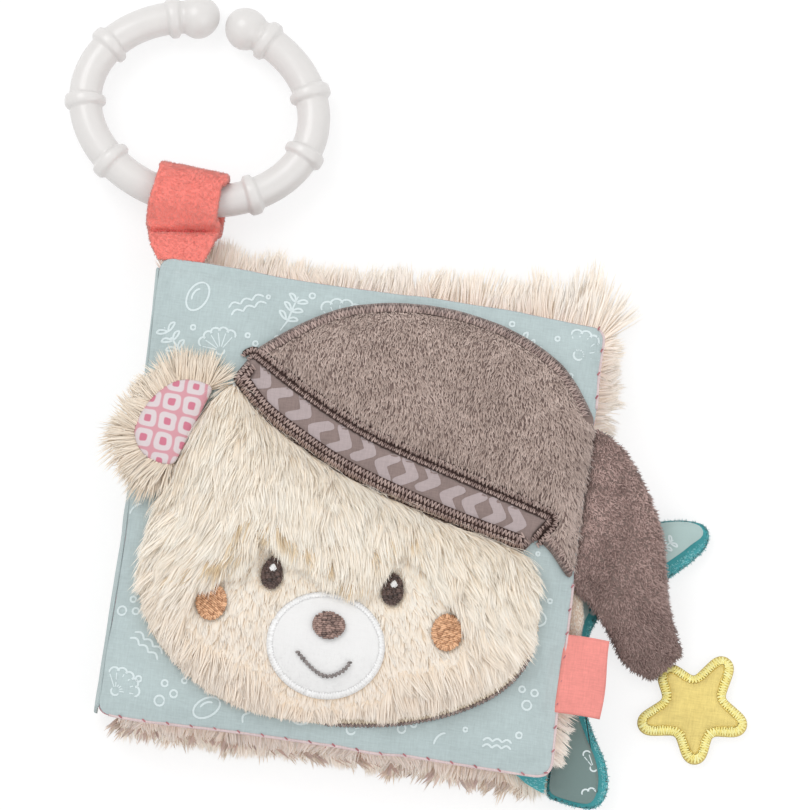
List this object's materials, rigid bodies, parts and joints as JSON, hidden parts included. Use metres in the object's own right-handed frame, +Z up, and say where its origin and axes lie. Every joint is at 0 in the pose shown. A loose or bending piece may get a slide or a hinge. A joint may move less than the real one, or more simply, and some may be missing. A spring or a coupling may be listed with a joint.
{
  "type": "soft_crinkle_book",
  "caption": "Baby's crinkle cloth book with a sleepy bear in a long cap on its padded cover, a loop with an open teether ring, a plush back and a fish fin past its edge",
  "frame": {"origin": "the middle of the back cover's flat underside", "axes": "+X from the spine to the opening edge, +Y to the top edge with the ring, +Z up through the front cover"},
  "size_m": [0.2202, 0.2177, 0.033],
  "materials": {
    "cream_plush": "long pile",
    "pink_print": "woven cotton",
    "wadding": "soft filling",
    "crinkle_foil": "thin crackling film",
    "turquoise_plush": "short pile",
    "teal_print": "woven cotton",
    "white_cotton": "woven cotton",
    "white_fleece": "short pile",
    "brown_thread": "satin stitch",
    "copper_thread": "satin stitch",
    "taupe_plush": "short pile",
    "taupe_band": "printed cotton",
    "yellow_cotton": "satin stitched edge",
    "coral_tape": "woven tape, bare",
    "coral_plush": "short pile",
    "white_plastic": "smooth moulded",
    "fin_print": "printed cotton"
  },
  "bodies": {
    "back_cover": {"back_cover_plush": "cream_plush", "back_cover_lining": "pink_print", "back_cover_wadding": "wadding", "back_cover_foil": "crinkle_foil", "fish_body": "turquoise_plush", "spine_binding": "teal_print", "fin_root": "turquoise_plush"},
    "leaf": {"leaf_front_panel": "white_cotton", "leaf_back_panel": "pink_print", "leaf_crinkle_foil": "crinkle_foil"},
    "front_cover": {"front_cover_outer": "teal_print", "front_cover_lining": "pink_print", "front_cover_wadding": "wadding", "front_cover_foil": "crinkle_foil", "face_plush": "cream_plush", "muzzle": "white_fleece", "nose": "brown_thread", "mouth": "brown_thread", "eye_left": "brown_thread", "eye_right": "brown_thread", "cheek_left": "copper_thread", "cheek_right": "copper_thread", "cap_crown": "taupe_plush", "cap_band": "taupe_band"},
    "ear": {"ear_print_front": "pink_print", "ear_plush_back": "cream_plush"},
    "cap_tail": {"cap_tail_front": "taupe_plush", "cap_tail_back": "taupe_plush", "cap_tail_stuffing": "wadding"},
    "star": {"star_front": "yellow_cotton", "star_back": "yellow_cotton"},
    "label": {"label_tab": "coral_tape"},
    "loop": {"hang_loop": "coral_plush"},
    "teether_ring": {"ring": "white_plastic"},
    "tail_fin": {"fin_print_front": "fin_print", "fin_plush_back": "turquoise_plush", "fin_wadding": "wadding"}
  },
  "joints": [
    {"name": "cover_hinge", "type": "hinge", "parent": "back_cover", "child": "front_cover", "pos_m": [-0.0656, 0, 0.019], "axis": [0, -1, 0], "range_deg": [0, 175]},
    {"name": "page_hinge", "type": "hinge", "parent": "back_cover", "child": "leaf", "pos_m": [-0.0626, 0, 0.013], "axis": [0, -1, 0], "range_deg": [0, 87.5]},
    {"name": "ear_fold", "type": "hinge", "parent": "front_cover", "child": "ear", "pos_m": [-0.0476, 0.01886, 0.02545], "axis": [0.314, 0.9494, 0], "range_deg": [0, 75]},
    {"name": "tail_swing", "type": "hinge", "parent": "front_cover", "child": "cap_tail", "pos_m": [0.0655, 0.014, 0.019], "axis": [0, -1, 0], "range_deg": [-20, 80]},
    {"name": "star_swing", "type": "hinge", "parent": "cap_tail", "child": "star", "pos_m": [0.09387, -0.02683, 0.0017], "axis": [-0.6709, -0.7415, 0], "range_deg": [-30, 50]},
    {"name": "label_fold", "type": "hinge", "parent": "front_cover", "child": "label", "pos_m": [0.0655, -0.0356, 0.019], "axis": [0, -1, 0], "range_deg": [-10, 60]},
    {"name": "loop_swing", "type": "hinge", "parent": "front_cover", "child": "loop", "pos_m": [-0.0596, 0.0655, 0.019], "axis": [1, 0, 0], "range_deg": [-25, 55]},
    {"name": "ring_swing", "type": "hinge", "parent": "loop", "child": "teether_ring", "pos_m": [-0.0596, 0.0866, 0.0097], "axis": [0.9981, -0.061, 0], "range_deg": [-60, 100]},
    {"name": "fin_fold", "type": "hinge", "parent": "back_cover", "child": "tail_fin", "pos_m": [0.0662, -0.028, 0.0094], "axis": [0, -1, 0], "range_deg": [-60, 0]}
  ],
  "couplings": [
    {"joint": "page_hinge", "follows": "cover_hinge", "ratio": 0.5}
  ]
}
